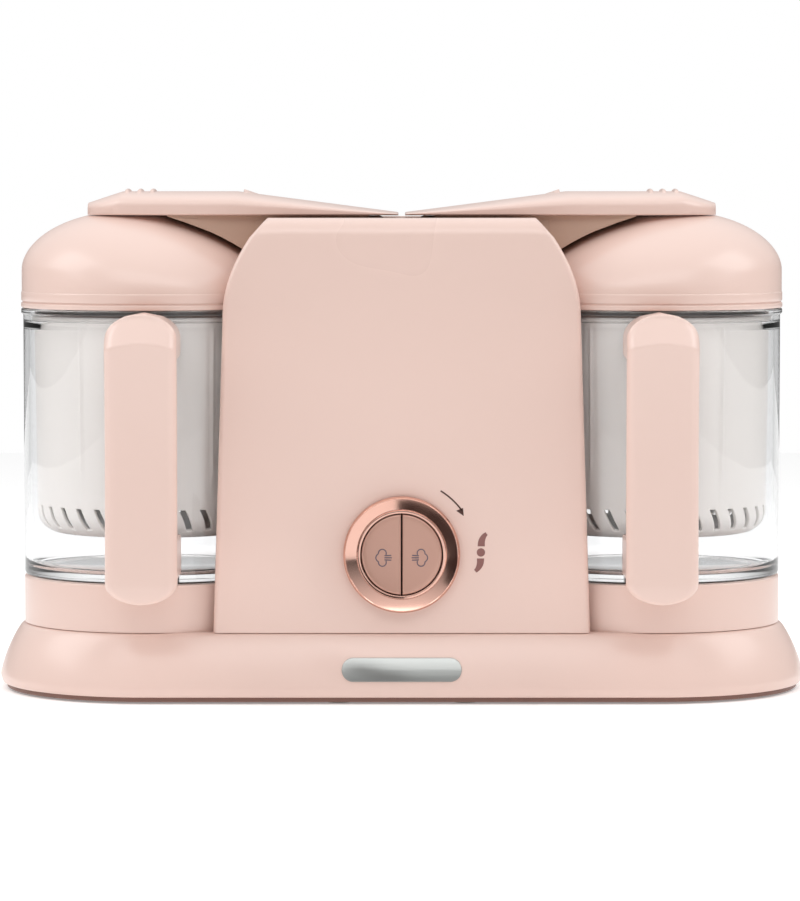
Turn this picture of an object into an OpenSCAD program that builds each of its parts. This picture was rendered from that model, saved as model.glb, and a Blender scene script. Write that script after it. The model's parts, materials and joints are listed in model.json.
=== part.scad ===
// Baby food maker: two clear bowls that steam and blend, either side of a control tower.
// Origin at the centre of the footprint on the table, +Z up, the front faces -Y.

/* [Base] */
// Distance from the centre to each bowl's axis, mm
bowl_x = 122; // [121:0.5:124]
// Radius of the base's ends where it is widest, mm
base_r = 75; // [74:0.5:76]
// Height of the base's top face, mm
base_h = 33; // [33:0.5:33.5]
// Thickness of the base's wall, mm
base_wall = 2.6; // [2.2:0.1:3]

/* [Bowls] */
// Outer radius of a bowl, mm
bowl_r = 63; // [62:0.5:63]
// Thickness of a bowl's wall, mm
bowl_wall = 3; // [2.4:0.1:3]
// Height of the bowl's rim above the table, mm
rim_z = 186.2; // [186:0.1:186.2]
// Radius of the basket at its top, mm
basket_r = 56; // [55:0.5:56]
// Number of slots round the basket's foot
basket_slots = 34; // [16:2:36]
// Width of the handle, mm
handle_w = 34; // [28:1:36]

/* [Lids and arms] */
// Outer radius of a steam lid's skirt, mm
lid_r = 63.7; // [63:0.1:63.8]
// Height of the flat top of a steam lid, mm
lid_top_z = 231.2; // [230:0.1:231.2]
// Height of an arm's crest, mm
arm_top_z = 243; // [241:0.5:245]
// Half the width of an arm over the tower, mm
arm_half_w = 33; // [30:0.5:33]
// Distance from the centre to each arm's tip, mm
arm_end = 153; // [150:1:156]

/* [Tower] */
// Half the width of the front shield at its foot, mm
shield_foot_w = 89.9; // [88:0.1:90]
// Half the width of the front shield at its shoulder, mm
shield_shoulder_w = 85.1; // [84:0.1:86]
// Height of the top of the tower, mm
tower_top_z = 230.4; // [229:0.1:230.4]
// Thickness of the tower's wall, mm
tower_wall = 2.5; // [2:0.1:3]

/* [Controls] */
// Height of the knob's centre, mm
knob_z = 70.8; // [69:0.1:72]
// Outer radius of the knob ring, mm
knob_r = 27.8; // [26:0.1:28]
// Radius of the pair of half-round buttons, mm
button_r = 19; // [18:0.1:19]

/* [Hidden] */
$fn = 96;

pink = [0.94, 0.82, 0.77];
copper = [0.86, 0.63, 0.54];
mauve = [0.50, 0.38, 0.35];
steel = [0.78, 0.78, 0.80];
dark = [0.20, 0.19, 0.19];
rubber = [0.55, 0.52, 0.50];
clear = [0.90, 0.95, 0.97, 0.35];
milky = [0.97, 0.95, 0.94, 0.6];

plate_z = 3.3;
wide_z = 7;
ring_top_z = 55.7;
well_z = 50.5;
bowl_floor_z = 60;
basket_z = 79;
shoulder_z = 185;
shield_y = -63;
shield_t = 3.5;
back_y = 62;
edge_r = 9;
deck_z = 214;
hinge_x = 11.5;
hinge_z = 227.5;
pin_r = 2;
arm_z = 231.5;
motor_x = 28;
motor_y = 15;
neck_x = 36;
lid_segments = 48;
screw_spots = [[175, 28], [175, -28], [62, 50], [62, -50]];
foot_spots = [[150, 40], [150, -40], [30, 60], [30, -60]];

function arc(c, r, a0, a1, n = 6) =
  [for (i = [0:n]) let (a = a0 + (a1 - a0) * i / n) [c[0] + r * cos(a), c[1] + r * sin(a)]];
function flip(p) = [for (i = [len(p) - 1:-1:0]) [-p[i][0], p[i][1]]];
function both(p) = concat(p, flip(p));
function super(u, p) = pow(max(0, 1 - pow(max(0, u), p)), 1 / p);

// Radius of the base's side at height z.
function base_side(z) =
  let (u = (z - wide_z) / (base_h - wide_z))
  z < wide_z ? base_r - (wide_z - z) / 3.7 : bowl_r + (base_r - bowl_r) * super(u, 1.3);
function base_profile(lo, hi, inset) = concat(
  [[0, lo], [base_side(lo) - inset, lo], [base_side(wide_z) - inset, wide_z]],
  [for (i = [1:7]) let (z = wide_z + (base_h - wide_z) * i / 8) if (z < hi - 0.5)
    [base_side(z) - inset, z]],
  [[base_side(hi) - inset, hi], [0, hi]]
);

// Half the width of the front shield at height z.
function shield_side(z) =
  let (u = max(0, z - shoulder_z) / (tower_top_z - shoulder_z))
  let (v = (min(z, shoulder_z) - base_h) / (shoulder_z - base_h))
  shield_foot_w + (shield_shoulder_w - shield_foot_w) * v - 19.6 * pow(u, 1.9);
function shield_outline(inset) = both(concat(
  [[shield_side(base_h) - inset, base_h]],
  [for (i = [0:10]) let (z = shoulder_z + (tower_top_z - shoulder_z) * i / 10)
    [shield_side(z) - inset, z]]
));

// Distance from the bowl's axis to the lid's outer and inner edge at height z.
function lid_out(z, r, top) = 16 + (r - 16) * super((z - 205) / (top + 1.8 - 205), 1.9);
function lid_in(z, r, top) = (r + 16) * super((z - 196) / (top + 4.8 - 196), 1.5) - 16;
function loop(r, z, c = 0) =
  [for (i = [0:lid_segments - 1]) let (a = 360 * i / lid_segments)
    [r * cos(a) - c, r * sin(a), z]];
function dome_loop(z, r, top) =
  let (o = lid_out(z, r, top))
  let (i = lid_in(z, r, top))
  loop((o + i) / 2, z, (o - i) / 2);

module skin(loops) {
  n = len(loops[0]);
  m = len(loops);
  polyhedron(
    points = [for (l = loops) each l],
    faces = concat(
      [[for (j = [0:n - 1]) j], [for (j = [n - 1:-1:0]) (m - 1) * n + j]],
      [for (i = [0:m - 2]) for (j = [0:n - 1]) each [
        [i * n + j, (i + 1) * n + (j + 1) % n, i * n + (j + 1) % n],
        [i * n + j, (i + 1) * n + j, (i + 1) * n + (j + 1) % n]
      ]]
    )
  );
}

module along_x(length) {
  rotate([90, 0, 90]) linear_extrude(length, center = true) children();
}

module along_y(y0, y1) {
  translate([0, y1, 0]) rotate([90, 0, 0]) linear_extrude(y1 - y0) children();
}

module block(lo, hi) {
  translate(lo) cube(hi - lo);
}

module rod_y(x, z, r, y0, y1) {
  translate([x, y1, z]) rotate([90, 0, 0]) cylinder(r = r, h = y1 - y0);
}

module rod_z(x, y, r, z0, z1) {
  translate([x, y, z0]) cylinder(r = r, h = z1 - z0);
}

module mirrored() {
  children();
  mirror([1, 0, 0]) children();
}

module at_bowl() {
  translate([-bowl_x, 0, 0]) children();
}

// A round-ended form along X, swept from a half profile of radius and height.
module base_form(profile) {
  along_x(2 * bowl_x) polygon(concat(profile, [for (p = flip(profile)) if (p[0] < 0) p]));
  mirrored() translate([bowl_x, 0, 0]) rotate([0, 0, -90])
    rotate_extrude(angle = 180) polygon(profile);
}

module base_plate() {
  color(mauve) difference() {
    union() {
      base_form([[0, 1], [base_r - 3.4, 1], [base_r - 3, 1.4], [base_r - 3, plate_z], [0, plate_z]]);
      base_form([[0, plate_z], [base_r - 4.2, plate_z], [base_r - 4.2, 5], [0, 5]]);
    }
    mirrored() for (p = foot_spots) rod_z(p[0], p[1], 8, 0, 2.6);
    rod_z(0, 0, 8, 0, 2.6);
    mirrored() for (p = screw_spots) {
      rod_z(p[0], p[1], 3.4, 0, 3);
      rod_z(p[0], p[1], 1.6, 2, 6);
    }
    mirrored() for (i = [0:5]) block([60 + 7 * i, -16, 0], [63 + 7 * i, 16, 6]);
  }
}

module foot(x, y) {
  translate([x, y, 0]) rotate_extrude()
    polygon([[0, 0], [6.8, 0], [7.8, 0.8], [7.8, 2.6], [0, 2.6]]);
}

module rubber_feet() {
  color(rubber) {
    mirrored() for (p = foot_spots) foot(p[0], p[1]);
    foot(0, 0);
  }
}

module base_screws() {
  color(steel) mirrored() for (p = screw_spots) difference() {
    union() {
      rod_z(p[0], p[1], 3.1, 1.4, 3);
      rod_z(p[0], p[1], 1.5, 3, 15);
    }
    block([p[0] - 2, p[1] - 0.3, 1], [p[0] + 2, p[1] + 0.3, 2]);
    block([p[0] - 0.3, p[1] - 2, 1], [p[0] + 0.3, p[1] + 2, 2]);
  }
}

module name_plate_form(inset) {
  intersection() {
    along_x(57) polygon([
      [-base_side(11) - 0.5 + inset, 11], [-base_side(13.5) - 0.5 + inset, 13.5],
      [-base_side(16.5) - 0.5 + inset, 16.5], [-base_side(19.5) - 0.5 + inset, 19.5],
      [-base_side(22) - 0.5 + inset, 22], [-base_side(22) + 0.9, 22], [-base_side(11) + 0.9, 11]
    ]);
    along_y(-base_r - 2, -60) union() {
      translate([-23, 11]) square([46, 11]);
      translate([-23, 16.5]) circle(r = 5.5);
      translate([23, 16.5]) circle(r = 5.5);
    }
  }
}

module base_shell() {
  color(pink) difference() {
    union() {
      difference() {
        base_form(base_profile(plate_z, base_h, 0));
        base_form(base_profile(plate_z - 1, base_h - 3, base_wall));
      }
      mirrored() for (p = screw_spots) rod_z(p[0], p[1], 4.2, 5, base_h - 2.5);
    }
    mirrored() for (p = screw_spots) rod_z(p[0], p[1], 1.5, 4, 17);
    mirrored() {
      rod_z(bowl_x, 0, 14, base_h - 4, base_h + 1);
      rod_z(motor_x, motor_y, 12, base_h - 4, base_h + 1);
    }
    name_plate_form(0);
    rod_y(60, 14, 8, 60, 80);
  }
}

module name_plate() {
  color(steel) name_plate_form(0);
}

module cord_gland() {
  color(dark) difference() {
    union() {
      rod_y(60, 14, 8, 64, 77.5);
      rod_y(60, 14, 6, 60, 64);
    }
    rod_y(60, 14, 3.6, 59, 79);
  }
}

module front_shield() {
  profile = concat(
    [[shield_y, base_h]],
    arc([shield_y + edge_r, tower_top_z - edge_r], edge_r, 180, 90, 8),
    arc([shield_y + edge_r, tower_top_z - edge_r], edge_r - shield_t, 90, 180, 8),
    [[shield_y + shield_t, base_h]]
  );
  color(pink) difference() {
    intersection() {
      along_x(200) polygon(profile);
      along_y(-80, 0) polygon(shield_outline(0));
    }
    rod_y(0, knob_z, 24.9, -70, -50);
  }
}

module tower_plan(inset, front) {
  difference() {
    polygon(both(concat(
      [[85 - inset, front]],
      arc([85 - 14, back_y - 14], 14 - inset, 0, 90, 6)
    )));
    for (s = [-1, 1]) translate([s * bowl_x, 0]) circle(r = 66 + inset);
  }
}

module tower_side(inset, front) {
  y0 = shield_y + shield_t;
  polygon(concat(
    [[front, base_h - inset], [front, tower_top_z - edge_r]],
    [for (i = [0:8]) let (a = 180 - 90 * i / 8)
      [shield_y + edge_r + (edge_r - shield_t - inset) * cos(a),
       tower_top_z - edge_r + (edge_r - shield_t - inset) * sin(a)]],
    inset > 0 ? [] : [[shield_y + edge_r, tower_top_z]],
    arc([back_y - edge_r, tower_top_z - edge_r], edge_r - inset, 90, 0, 8),
    [[back_y - inset, base_h - inset]]
  ));
}

module tower_form(inset, front) {
  intersection() {
    translate([0, 0, base_h - inset]) linear_extrude(210) tower_plan(inset, front);
    along_x(200) tower_side(inset, front);
    along_y(-80, 80) polygon(both(concat(
      [[shield_side(base_h) - 1.5 - inset, base_h - inset]],
      [for (i = [0:8]) let (z = shoulder_z + (tower_top_z - shoulder_z) * i / 8)
        [shield_side(z) - 1.5 - inset, z]]
    )));
  }
}

module tower_shell() {
  color(pink) difference() {
    tower_form(0, shield_y + shield_t);
    tower_form(tower_wall, shield_y + shield_t - 2);
    block([-90, -35, 222], [90, 35, 240]);
    for (i = [0:5]) block([-30, back_y - 4, 60 + 8 * i], [30, back_y + 1, 63 + 8 * i]);
  }
}

module tower_deck() {
  color(pink) difference() {
    union() {
      intersection() {
        translate([0, 0, deck_z - 3]) linear_extrude(3)
          tower_plan(tower_wall + 0.1, shield_y + shield_t);
        along_y(-80, 80) polygon(shield_outline(1.6 + tower_wall));
      }
      mirrored() for (y = [-24.5, 18.5]) {
        block([hinge_x - 3.5, y, deck_z - 1], [hinge_x + 3.5, y + 6, hinge_z]);
        rod_y(hinge_x, hinge_z, 3.5, y, y + 6);
      }
    }
    mirrored() {
      rod_z(neck_x, 0, 12.3, deck_z - 5, deck_z + 2);
      rod_y(hinge_x, hinge_z, pin_r, -30, 30);
    }
  }
}

module control_board() {
  color([0.12, 0.32, 0.20]) block([-40, -40, base_h], [40, -38.4, 150]);
  color(dark) mirrored() block([14, -38.4, 110], [30, -30, 128]);
  color(dark) block([-12, -38.4, 130], [12, -34, 146]);
}

module knob_core() {
  color(dark) difference() {
    union() {
      difference() {
        rod_y(0, knob_z, 20.6, -61, -48);
        rod_y(0, knob_z, 19.4, -62, -50);
      }
      mirrored() rod_y(15, knob_z + 8, 2, -49, -40);
      mirrored() rod_y(15, knob_z - 8, 2, -49, -40);
    }
    mirrored() rod_y(9.5, knob_z, 2.3, -51, -47);
  }
}

module rotary_switch() {
  color(dark) translate([0, -40, knob_z]) rotate([90, 0, 0]) difference() {
    cylinder(r = 35, h = 16);
    translate([0, 0, -1]) cylinder(r = 26.5, h = 18);
  }
}

module button_switches() {
  color(dark) mirrored() {
    block([6.5, -43.6, knob_z - 3], [12.5, -40, knob_z + 3]);
    rod_y(9.5, knob_z, 1.5, -44.1, -43.6);
  }
}

module knob_ring() {
  color(copper) translate([0, 0, knob_z]) rotate([90, 0, 0]) rotate_extrude() polygon([
    [21, 52], [24.4, 52], [24.4, 58.2], [25.4, 58.2], [25.4, 59.1], [24.4, 59.1],
    [24.4, 63.4], [knob_r, 63.4], [knob_r, 66.6], [knob_r - 0.4, 67.8],
    [knob_r - 1.2, 68.4], [knob_r - 2, 67.9], [25, 66.9], [23.5, 66.2], [21.6, 65.9],
    [21.2, 66.8], [20.6, 67.1], [19.9, 66.8], [19.8, 64.5], [21, 63.5]
  ]);
}

module button(s) {
  color(copper) difference() {
    union() {
      translate([0, 0, knob_z]) rotate([90, 0, 0]) rotate_extrude() polygon([
        [0, 52], [button_r, 52], [button_r, 65.9], [button_r - 0.6, 66.5], [0, 66.5]
      ]);
      rod_y(s * 9.5, knob_z, 2, -53, -45.9);
    }
    block([s > 0 ? -30 : -0.55, -80, knob_z - 30], [s > 0 ? 0.55 : 30, -30, knob_z + 30]);
  }
}

module left_button() {
  button(-1);
}

module right_button() {
  button(1);
}

module left_drive_ring() {
  color(pink) at_bowl() difference() {
    rotate([0, 0, 60]) rotate_extrude() polygon([
      [8, 36], [12, 36], [12, 47], [bowl_r - 3, 47], [bowl_r - 3, base_h], [bowl_r, base_h],
      [bowl_r, ring_top_z - 0.8], [bowl_r - 0.8, ring_top_z], [55.9, ring_top_z],
      [55.9, 53.6], [58.6, 53.6], [58.6, well_z], [8, well_z]
    ]);
    for (a = [115, 235, 355]) rotate([0, 0, a - 10.5]) rotate_extrude(angle = 21)
      polygon([[55, 53], [58.4, 53], [58.4, 57], [55, 57]]);
  }
}

module right_drive_ring() {
  mirror([1, 0, 0]) left_drive_ring();
}

module left_bearing() {
  color([0.72, 0.55, 0.35]) at_bowl() rotate_extrude()
    polygon([[4.05, 36], [8, 36], [8, well_z], [4.05, well_z]]);
}

module right_bearing() {
  mirror([1, 0, 0]) left_bearing();
}

module left_stator() {
  color(steel) difference() {
    union() {
      translate([-motor_x, motor_y, 0]) rotate_extrude() polygon([
        [2.55, 35], [19, 35], [19, 95], [2.55, 95], [2.55, 92], [16, 92], [16, 38], [2.55, 38]
      ]);
      block([-motor_x - 21, motor_y - 21, base_h], [-motor_x + 21, motor_y + 21, 35]);
    }
    rod_z(-motor_x, motor_y, 2.55, 32, 39);
  }
}

module right_stator() {
  mirror([1, 0, 0]) left_stator();
}

module left_rotor() {
  color(steel) translate([-motor_x, motor_y, 0]) rotate_extrude() polygon([
    [0, 8], [2.5, 8], [2.5, 9.5], [11, 9.5], [11, 10.5], [9, 10.5], [9, 18.5], [11, 18.5],
    [11, 19.5], [2.5, 19.5], [2.5, 42], [14, 42], [14, 88], [2.5, 88], [2.5, 98], [0, 98]
  ]);
}

module right_rotor() {
  mirror([1, 0, 0]) left_rotor();
}

module belt_path(r_small, r_big) {
  hull() {
    translate([-motor_x, motor_y]) circle(r = r_small, $fn = 48);
    translate([-bowl_x, 0]) circle(r = r_big, $fn = 48);
  }
}

module left_belt() {
  color(dark) translate([0, 0, 11]) linear_extrude(7) difference() {
    belt_path(10.8, 31.8);
    belt_path(9.3, 30.3);
  }
}

module right_belt() {
  mirror([1, 0, 0]) left_belt();
}

module left_pulley() {
  color(dark) at_bowl() difference() {
    rotate_extrude() polygon([
      [4, 9.5], [32.5, 9.5], [32.5, 10.5], [30, 10.5], [30, 18.5], [32.5, 18.5],
      [32.5, 19.5], [4, 19.5]
    ]);
    for (a = [30:60:330]) rotate([0, 0, a]) rod_z(18, 0, 6, 8, 21);
  }
}

module right_pulley() {
  mirror([1, 0, 0]) left_pulley();
}

module left_spindle() {
  color(steel) at_bowl() rod_z(0, 0, 4, 8, 74);
}

module right_spindle() {
  mirror([1, 0, 0]) left_spindle();
}

module left_tank() {
  color(steel) difference() {
    union() {
      block([-52, -26, 130], [-18, 26, 205]);
      rod_z(-neck_x, 0, 12, 204, deck_z + 2.2);
    }
    block([-50, -24, 132], [-20, 24, 203]);
    rod_z(-neck_x, 0, 9, 202, deck_z + 4);
  }
}

module right_tank() {
  mirror([1, 0, 0]) left_tank();
}

module left_heater() {
  color(dark) {
    rod_z(-35, 0, 16, 124, 130);
    rod_z(-40, 8, 1.5, 116, 124);
    rod_z(-30, 8, 1.5, 116, 124);
  }
}

module right_heater() {
  mirror([1, 0, 0]) left_heater();
}

module left_bowl() {
  inner = bowl_r - bowl_wall;
  color(clear) at_bowl() {
    rotate_extrude() polygon(concat(
      [[9, 56.6], [50, 56.6], [50, 51], [55.4, 51], [55.4, 56]],
      arc([bowl_r - 2, 58], 2, 270, 360, 4),
      [[bowl_r, rim_z - 3], [bowl_r + 1, rim_z - 2.2], [bowl_r + 1, rim_z - 0.6],
       [bowl_r + 0.4, rim_z], [inner, rim_z], [inner, 180.6], [58.3, 180.6], [inner, 177]],
      arc([inner - 4, bowl_floor_z + 4], 4, 0, -90, 5),
      [[9, bowl_floor_z]]
    ));
    for (a = [0, 120, 240]) rotate([0, 0, a + 90]) intersection() {
      rotate_extrude() polygon([[55, 51], [58.2, 51], [58.2, 53.3], [55, 53.3]]);
      linear_extrude(60) polygon([[0, 0], [70, -9], [70, 9]]);
    }
  }
}

module right_bowl() {
  mirror([1, 0, 0]) left_bowl();
}

module left_handle() {
  half = handle_w / 2;
  low = 50;
  high = 186;
  side = concat(
    [[-40, 60], [-88, 60], [-91, 57], [-91, 40], [-103, 40]],
    arc([-90, high - 13], 13, 180, 90, 8),
    [[-40, high]]
  );
  front = both(concat(
    [for (i = [0:9]) [half * sin(10 * i), low + 10 * (1 - cos(10 * i))]],
    [for (i = [0:9]) [half * cos(10 * i), high - 12 * (1 - sin(10 * i))]]
  ));
  plan = concat(
    [[half, -50], [half, -96.5]],
    arc([half - 4, -96.5], 4, 0, -70, 5),
    [for (i = [1:7]) let (x = (half - 3) * (1 - i / 7)) [x, -103 + x * x / 120]]
  );
  color(pink) at_bowl() difference() {
    intersection() {
      along_x(60) polygon(side);
      along_y(-120, 0) polygon(front);
      linear_extrude(200) polygon(both(plan));
    }
    along_x(60) polygon(concat(
      arc([-85, 158], 6, 180, 90), arc([-50, 158], 6, 90, 90, 1),
      [[-50, 80]], arc([-85, 80], 6, 270, 180)
    ));
    rod_z(0, 0, bowl_r, 40, 200);
    rod_z(0, 0, bowl_r + 1, rim_z - 3.5, 200);
  }
}

module right_handle() {
  mirror([1, 0, 0]) left_handle();
}

module left_basket() {
  low = basket_r - 1.5;
  color(milky) at_bowl() difference() {
    union() {
      rotate_extrude() polygon(concat(
        [[0, basket_z]],
        arc([low - 9, basket_z + 9], 9, 270, 360, 6),
        [[basket_r, 178], [basket_r, 180.7], [59.5, 180.7], [59.5, 182], [57.6, 184],
         [basket_r - 1.8, 184], [basket_r - 2, 178]],
        arc([low - 9, basket_z + 9], 7, 0, -90, 6),
        [[0, basket_z + 2]]
      ));
      for (a = [57, 123, 237, 303]) rotate([0, 0, a])
        block([basket_r - 3, -0.6, 100], [basket_r + 0.8, 0.6, 176]);
    }
    for (i = [0:basket_slots - 1]) rotate([0, 0, 360 * (i + 0.5) / basket_slots])
      translate([low - 2, 0, basket_z + 7.5]) rotate([18, 0, 0]) cube([14, 2.8, 9], center = true);
    for (i = [0:9]) rotate([0, 0, 36 * i]) block([16, -1.6, 78], [38, 1.6, 82]);
  }
}

module right_basket() {
  mirror([1, 0, 0]) left_basket();
}

module left_bush() {
  color(milky) at_bowl() rotate_extrude() polygon([
    [4.4, 54], [9, 54], [9, bowl_floor_z], [10.5, bowl_floor_z], [10.5, 61.4], [7, 61.4],
    [7, 70], [4.4, 70]
  ]);
}

module right_bush() {
  mirror([1, 0, 0]) left_bush();
}

module left_blade_hub() {
  color(dark) at_bowl() rotate_extrude() polygon([
    [7.4, 62.2], [11, 62.2], [11, 64], [10, 64], [10, 65.6], [9.6, 74], [7, 77], [0, 77.6],
    [0, 74], [4, 74], [4, 71], [7.4, 71]
  ]);
}

module right_blade_hub() {
  mirror([1, 0, 0]) left_blade_hub();
}

module left_blade() {
  color(steel) at_bowl() translate([0, 0, 64]) linear_extrude(1.6) difference() {
    union() {
      circle(r = 13);
      for (s = [0, 180]) rotate([0, 0, s]) intersection() {
        translate([20, 24]) circle(r = 32);
        translate([-34, 24]) circle(r = 42);
      }
    }
    circle(r = 10);
  }
}

module right_blade() {
  mirror([1, 0, 0]) left_blade();
}

module left_hinge_pin() {
  color(steel) rod_y(-hinge_x, hinge_z, pin_r, -26, 26);
}

module right_hinge_pin() {
  mirror([1, 0, 0]) left_hinge_pin();
}

// Half the width and the height of an arm at distance x from the centre.
function arm_w(x) =
  let (u = max(0, x - 78) / (arm_end - 78))
  (arm_half_w - 9 * pow(u, 1.3)) * pow(max(0.02, 1 - pow(max(0, x - 120) / (arm_end - 119), 3)), 0.5);
function arm_crest(x) =
  x < 80 ? arm_z + 1.1 + (arm_top_z - arm_z - 1.1) * x / 80
  : x < 136 ? arm_top_z : arm_top_z - 5.6 * (x - 136) / (arm_end - 136);
function arm_section(x) =
  let (w = arm_w(x))
  let (h = arm_crest(x) - arm_z)
  let (wall = h * 0.38)
  concat(
    [[-x, -w + 0.4, arm_z], [-x, -w, arm_z + 0.3 * wall]],
    [for (i = [0:14]) let (a = 180 - 180 * i / 14)
      [-x, w * cos(a), arm_z + wall + (h - wall) * pow(max(0, sin(a)), 0.75)]],
    [[-x, w, arm_z + 0.3 * wall], [-x, w - 0.4, arm_z]]
  );

module left_arm() {
  color(pink) difference() {
    union() {
      skin([for (x = [1.6, 20, 40, 60, 74, 80, 90, 100, 110, 120, 128, 136, 142, 147, 150.5, arm_end])
        arm_section(x)]);
      for (i = [0:2]) block([-122.2 - 6.2 * i, -13, arm_top_z - 2], [-120.4 - 6.2 * i, 13, arm_top_z + 1.2]);
      along_y(-4, 4) polygon([[-70, 241.6], [-77, 243.9], [-77, 240], [-70, 240]]);
    }
    block([-141, -18, 230], [-77, 18, 237]);
  }
}

module right_arm() {
  mirror([1, 0, 0]) left_arm();
}

module left_arm_liner() {
  color(pink) difference() {
    union() {
      block([-98, -28, 229.5], [-16, 28, arm_z]);
      block([-141, -18, arm_z], [-77, 18, arm_z + 1.5]);
      block([-20, -18, 226], [-hinge_x, 18, 231]);
      rod_y(-hinge_x, hinge_z, 3.5, -18, 18);
      rod_z(-neck_x, 0, 13, 219, 230);
      rod_z(-bowl_x - 10, 0, 6, lid_top_z, arm_z + 1);
      along_y(-28, 28) polygon(concat(
        [[-71, 230], [-71, 213.5], [-71.6, 212.2]],
        [for (z = [212.2, 215, 218, 221, 224, 226.5, 229]) [-bowl_x + lid_in(z, lid_r, lid_top_z) + 0.4, z]],
        [[-108.6, 230]]
      ));
    }
    rod_y(-hinge_x, hinge_z, pin_r + 0.05, -20, 20);
    rod_z(-neck_x, 0, 7, 218, 227);
  }
}

module right_arm_liner() {
  mirror([1, 0, 0]) left_arm_liner();
}

module left_lid() {
  top = lid_top_z - 2.4;
  z0 = rim_z + 0.3;
  color(pink) at_bowl() skin(concat(
    [for (i = [0:7]) dome_loop(top - (top - 197) * pow(i / 7, 1.5), lid_r - 2.6, top)],
    [loop(lid_r - 2.6, 192), loop(59, 190), loop(59, z0)],
    [loop(60.1, z0), loop(60.1, z0 + 2.4), loop(62.6, z0 + 2.4), loop(62.6, z0)],
    [loop(63.6, z0), loop(64.1, z0 + 0.5), loop(64.1, z0 + 2.4), loop(63.5, z0 + 2.7)],
    [loop(63.5, z0 + 3.2), loop(64, z0 + 3.5), loop(64, z0 + 7.6), loop(lid_r, z0 + 8)],
    [for (i = [0:10]) dome_loop(196 + (lid_top_z - 196) * (1 - pow(1 - i / 10, 1.5)), lid_r, lid_top_z)]
  ));
}

module right_lid() {
  mirror([1, 0, 0]) left_lid();
}

module left_lid_seal() {
  color(rubber) at_bowl() rotate_extrude() polygon([
    [60.3, rim_z + 0.3], [62.2, rim_z + 0.3], [62.2, rim_z + 2.6], [60.3, rim_z + 2.6]
  ]);
}

module right_lid_seal() {
  mirror([1, 0, 0]) left_lid_seal();
}

module left_tank_seal() {
  color(rubber) translate([-neck_x, 0, 0]) rotate_extrude() polygon([
    [7.2, 216.6], [12.8, 216.6], [12.8, 219], [7.2, 219]
  ]);
}

module right_tank_seal() {
  mirror([1, 0, 0]) left_tank_seal();
}

base_plate();
rubber_feet();
base_screws();
base_shell();
name_plate();
cord_gland();
front_shield();
tower_shell();
tower_deck();
control_board();
knob_core();
rotary_switch();
button_switches();
knob_ring();
left_button();
right_button();
left_drive_ring();
right_drive_ring();
left_bearing();
right_bearing();
left_stator();
right_stator();
left_rotor();
right_rotor();
left_belt();
right_belt();
left_pulley();
right_pulley();
left_spindle();
right_spindle();
left_tank();
right_tank();
left_heater();
right_heater();
left_bowl();
right_bowl();
left_handle();
right_handle();
left_basket();
right_basket();
left_bush();
right_bush();
left_blade_hub();
right_blade_hub();
left_blade();
right_blade();
left_hinge_pin();
right_hinge_pin();
left_arm();
right_arm();
left_arm_liner();
right_arm_liner();
left_lid();
right_lid();
left_lid_seal();
right_lid_seal();
left_tank_seal();
right_tank_seal();
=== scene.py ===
import json
import math

import bmesh
import bpy
from mathutils import Matrix, Vector

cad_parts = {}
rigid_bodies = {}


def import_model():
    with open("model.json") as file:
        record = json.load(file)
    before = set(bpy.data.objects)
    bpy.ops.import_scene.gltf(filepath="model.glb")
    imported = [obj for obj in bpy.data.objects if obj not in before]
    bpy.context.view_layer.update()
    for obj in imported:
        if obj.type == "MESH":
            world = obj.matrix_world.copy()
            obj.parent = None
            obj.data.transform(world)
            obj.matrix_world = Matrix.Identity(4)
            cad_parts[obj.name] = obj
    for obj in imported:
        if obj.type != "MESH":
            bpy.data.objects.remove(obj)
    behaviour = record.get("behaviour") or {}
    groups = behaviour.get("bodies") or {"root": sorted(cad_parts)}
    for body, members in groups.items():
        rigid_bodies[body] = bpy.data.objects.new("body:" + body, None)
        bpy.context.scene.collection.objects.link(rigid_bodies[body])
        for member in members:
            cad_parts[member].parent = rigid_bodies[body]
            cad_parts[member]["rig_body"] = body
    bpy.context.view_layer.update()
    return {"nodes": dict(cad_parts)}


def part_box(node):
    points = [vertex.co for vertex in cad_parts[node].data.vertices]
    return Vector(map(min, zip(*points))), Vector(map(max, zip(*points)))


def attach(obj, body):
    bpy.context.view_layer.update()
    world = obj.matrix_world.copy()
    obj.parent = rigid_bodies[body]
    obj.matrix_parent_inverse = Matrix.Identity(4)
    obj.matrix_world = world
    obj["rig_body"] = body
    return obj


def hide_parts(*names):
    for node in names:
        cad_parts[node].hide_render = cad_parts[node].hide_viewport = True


MM = 0.001
SIDES = (("left", -1), ("right", 1))

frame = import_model()
scene = bpy.context.scene
nodes = frame["nodes"]

# Sizes in millimetres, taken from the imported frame.


def box_mm(node):
    lo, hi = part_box(node)
    return lo / MM, hi / MM


RING_LO, RING_HI = box_mm("right_drive_ring")
BOWL_LO, BOWL_HI = box_mm("right_bowl")
LID_LO, LID_HI = box_mm("right_lid")
ARM_LO, ARM_HI = box_mm("right_arm")
BASE_LO, BASE_HI = box_mm("base_shell")
SHIELD_LO, SHIELD_HI = box_mm("front_shield")
HANDLE_LO, HANDLE_HI = box_mm("right_handle")
BASKET_LO, BASKET_HI = box_mm("right_basket")
KNOB_LO, KNOB_HI = box_mm("knob_ring")
BUTTON_LO, BUTTON_HI = box_mm("right_button")
PLATE_LO, PLATE_HI = box_mm("name_plate")

BOWL_X = (RING_LO.x + RING_HI.x) / 2
RING_R = (RING_HI.x - RING_LO.x) / 2
BASE_TOP = BASE_HI.z
RIM_Z = BOWL_HI.z
KNOB_Z = (KNOB_LO.z + KNOB_HI.z) / 2
KNOB_R = (KNOB_HI.x - KNOB_LO.x) / 2
FRONT_Y = SHIELD_LO.y


# ---------------------------------------------------------------- materials


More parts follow.
